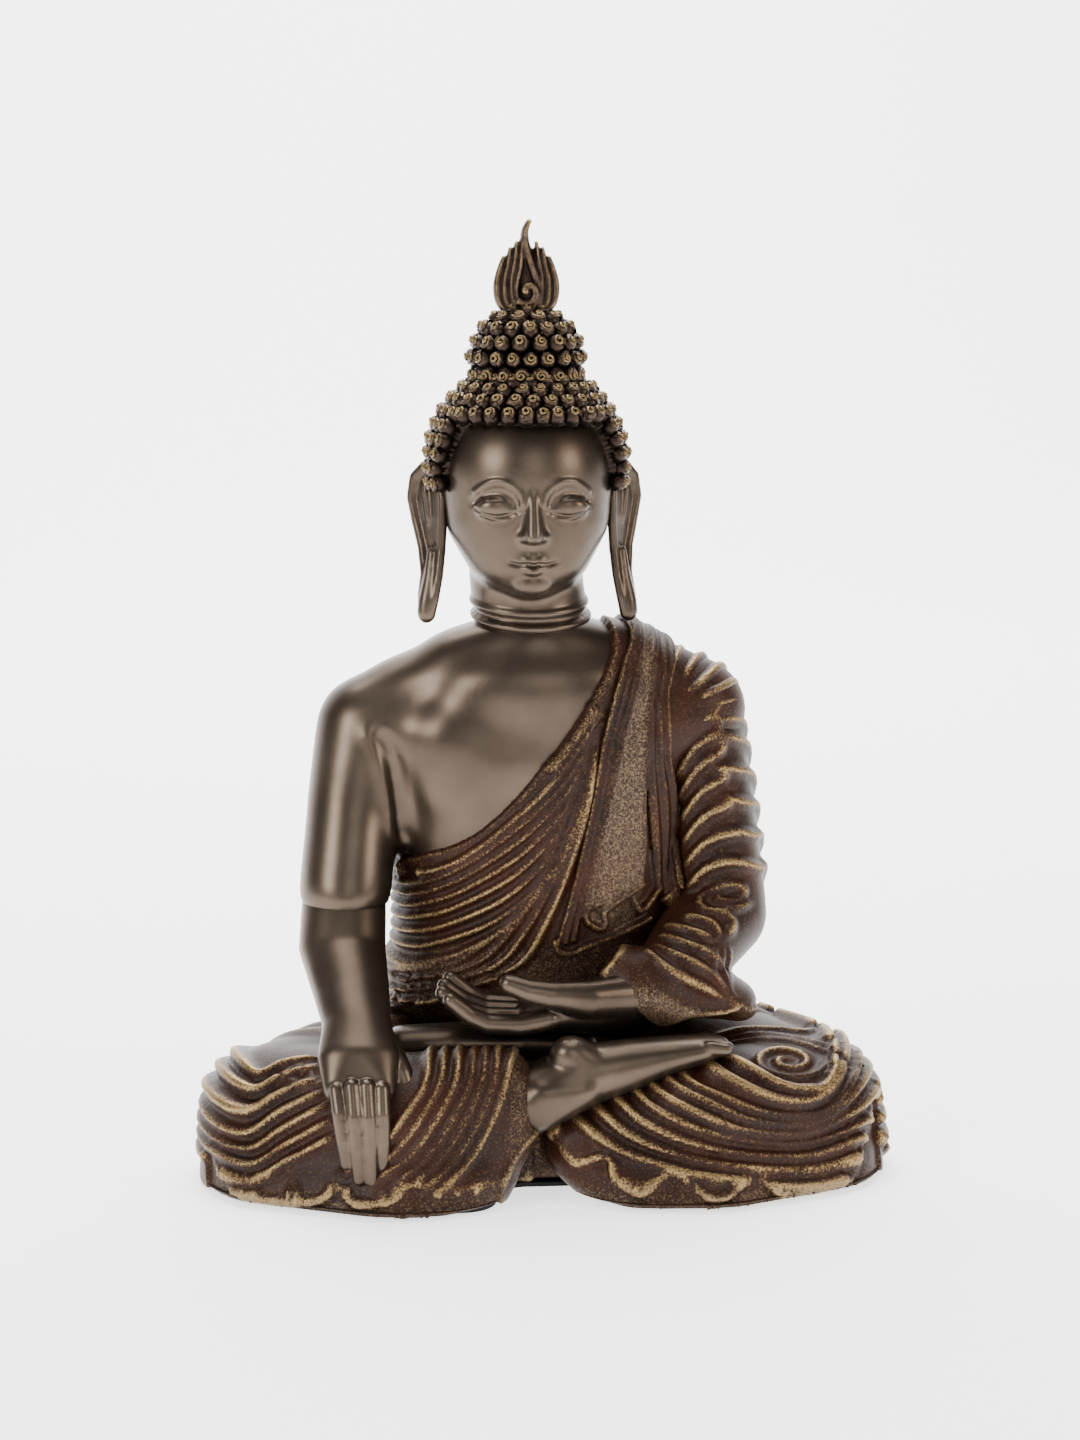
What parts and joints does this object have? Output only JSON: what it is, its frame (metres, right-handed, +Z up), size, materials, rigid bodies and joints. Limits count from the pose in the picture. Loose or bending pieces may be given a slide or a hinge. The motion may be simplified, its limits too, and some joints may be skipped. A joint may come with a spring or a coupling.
{
  "type": "buddha statue",
  "caption": "Seated meditating Buddha figure in an off-shoulder robe, one hand reaching down over the shin, with a flame finial on curled hair.",
  "frame": {"origin": "centre of the footprint on the surface that the statue stands on", "axes": "+Z up, -Y the way the figure faces, +X the figure's own left"},
  "size_m": [0.2376, 0.1296, 0.33],
  "materials": {
    "robe": "cast resin, dark brown with dry-brushed gold on the ridges and sanded flats",
    "skin_bronze": "cast resin with a satin bronze metallic coat",
    "antique_gold": "cast resin, dark brown with rubbed antique gold",
    "felt": "black pressed felt",
    "fibreboard": "dark dense fibreboard",
    "zinc_steel": "zinc plated steel",
    "pin_steel": "plain drawn steel",
    "brass": "turned brass"
  },
  "bodies": {
    "statue": {"felt_pad": "felt", "base_plate": "fibreboard", "base_screws": "zinc_steel", "screw_inserts": "brass", "lap_casting": "robe", "torso_robe": "robe", "chest_casting": "skin_bronze", "shoulder_sash": "robe", "left_sleeve": "robe", "left_hand": "skin_bronze", "right_forearm": "skin_bronze", "right_foot": "skin_bronze", "left_foot": "skin_bronze", "head_casting": "skin_bronze", "right_ear": "skin_bronze", "left_ear": "skin_bronze", "hair_cap": "antique_gold", "neck_pin": "pin_steel", "chest_pins": "pin_steel", "waist_pins": "pin_steel"},
    "finial": {"flame_finial": "antique_gold"}
  },
  "joints": [
    {"name": "finial_lift", "type": "slide", "parent": "statue", "child": "finial", "axis": [0, 0, 1], "range_m": [0, 0.01]}
  ]
}
